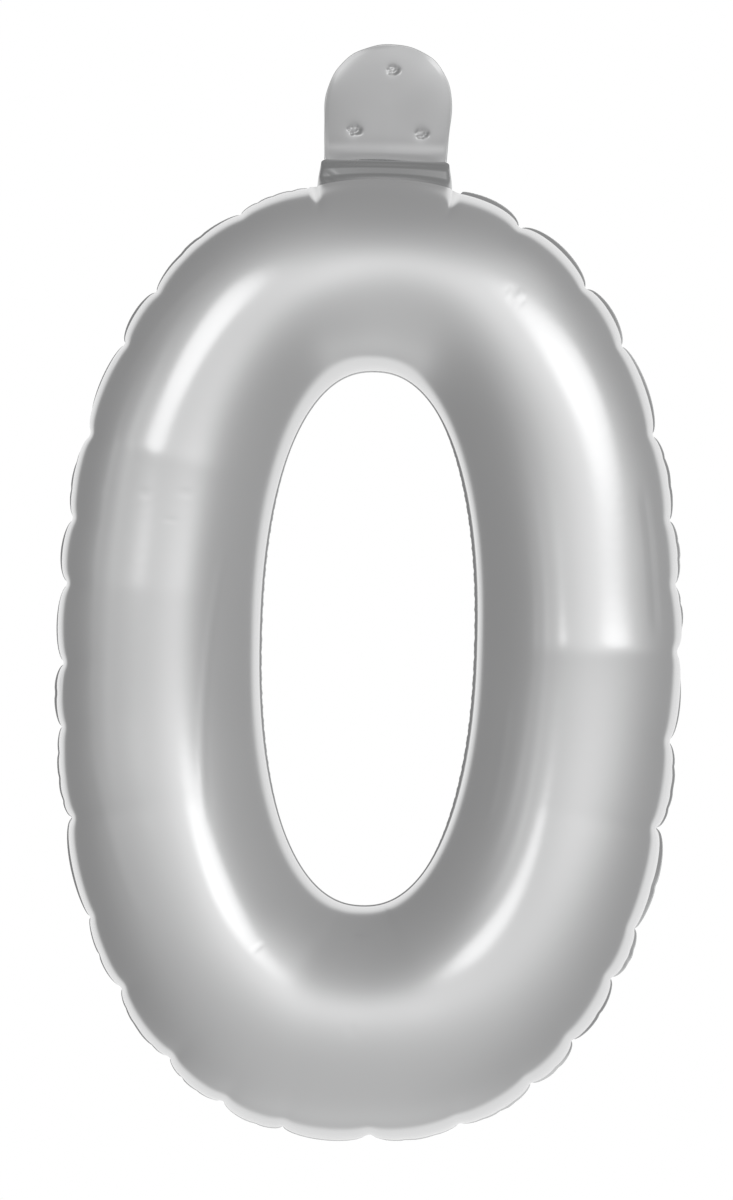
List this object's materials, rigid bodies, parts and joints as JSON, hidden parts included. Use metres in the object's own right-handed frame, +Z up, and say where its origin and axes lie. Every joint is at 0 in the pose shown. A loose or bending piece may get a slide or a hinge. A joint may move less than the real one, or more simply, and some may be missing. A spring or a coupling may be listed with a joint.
{
  "type": "foil number balloon",
  "caption": "Inflated silver film balloon shaped as the numeral zero, with a puckered outer weld and a folding filling tail that it hangs from.",
  "frame": {"origin": "the hanging point, in the middle of the tail between its two films", "axes": "+Z up along the balloon's height, +X to the right across its width as seen from the front, -Y out of its front face"},
  "size_m": [0.2286, 0.072, 0.3999],
  "materials": {
    "silver_film": "satin, vacuum-metallised film",
    "welded_margin": "heat-welded metallised film, slightly duller",
    "valve_film": "clear lay-flat film"
  },
  "bodies": {
    "tail": {"tail_front_film": "silver_film", "tail_rear_film": "silver_film", "tail_seam_left": "welded_margin", "tail_seam_right": "welded_margin", "valve_inlet_front": "valve_film", "valve_inlet_rear": "valve_film"},
    "ring": {"front_film": "silver_film", "rear_film": "silver_film", "outer_seam": "welded_margin", "inner_seam": "welded_margin", "valve_sleeve_front": "valve_film", "valve_sleeve_rear": "valve_film"}
  },
  "joints": [
    {"name": "tail_crease", "type": "hinge", "parent": "tail", "child": "ring", "pos_m": [0, 0, -0.0211], "axis": [1, 0, 0], "range_deg": [-105, 105]}
  ]
}
